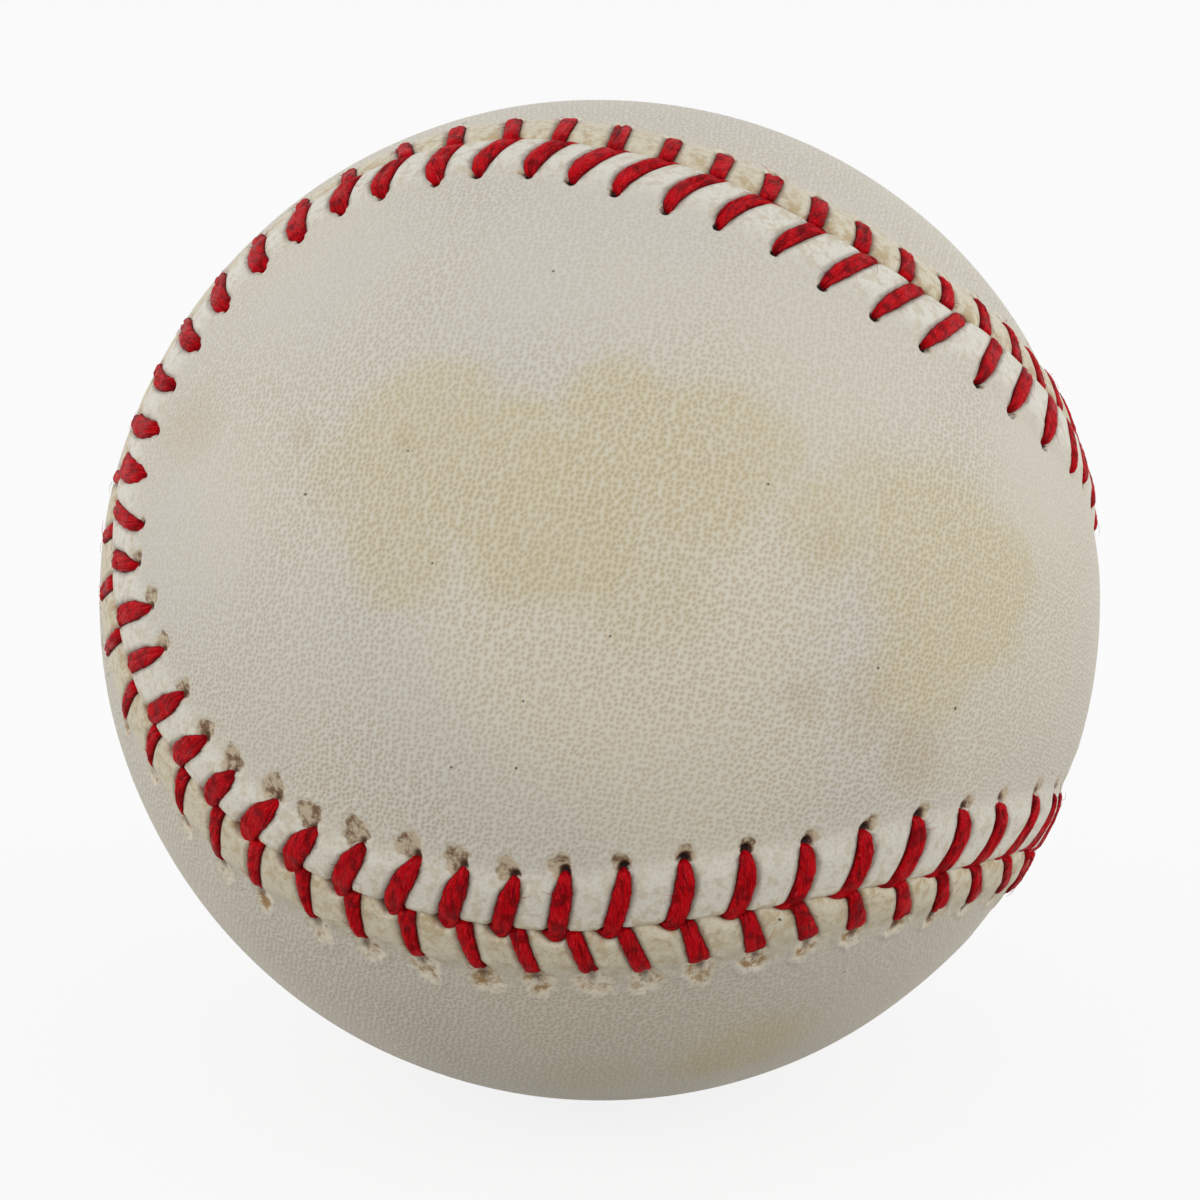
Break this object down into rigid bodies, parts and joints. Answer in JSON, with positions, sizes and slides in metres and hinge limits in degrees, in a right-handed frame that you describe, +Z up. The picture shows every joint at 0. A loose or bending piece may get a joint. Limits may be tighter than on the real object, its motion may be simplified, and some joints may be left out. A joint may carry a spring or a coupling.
{
  "type": "baseball",
  "caption": "Hand-sewn ball: a cushioned cork pill wound with wool and cotton yarn, in a two-panel leather cover joined by raised V stitches.",
  "frame": {"origin": "centre of the ball", "axes": "+Z up as the ball lies in the picture, -Y towards the viewer, +X to the viewer's right. The ball's own axis, through the waist of the front panel, points along +X, turned 2 degrees to -Y and dipped 9.5 degrees."},
  "size_m": [0.0751, 0.0744, 0.0745],
  "materials": {
    "cork": "moulded cork and rubber, matte",
    "black_rubber": "moulded, matte",
    "red_rubber": "moulded, matte",
    "grey_wool": "tightly wound wool yarn",
    "white_wool": "tightly wound wool yarn",
    "cotton_yarn": "tightly wound fine cotton yarn",
    "cement": "dried latex cement, dull",
    "leather": "tawed cowhide, fine pebble grain, worn and stained",
    "thread": "waxed cotton thread"
  },
  "bodies": {
    "root": {"cork_core": "cork", "black_rubber_half_upper": "black_rubber", "black_rubber_half_lower": "black_rubber", "rubber_washer": "red_rubber", "red_rubber_shell": "red_rubber", "wool_winding_inner": "grey_wool", "wool_winding_middle": "white_wool", "wool_winding_outer": "grey_wool", "cotton_winding": "cotton_yarn", "cement_coat": "cement", "cover_panel_front": "leather", "cover_panel_top": "leather", "stitch_thread_one": "thread", "stitch_thread_two": "thread"}
  },
  "joints": []
}
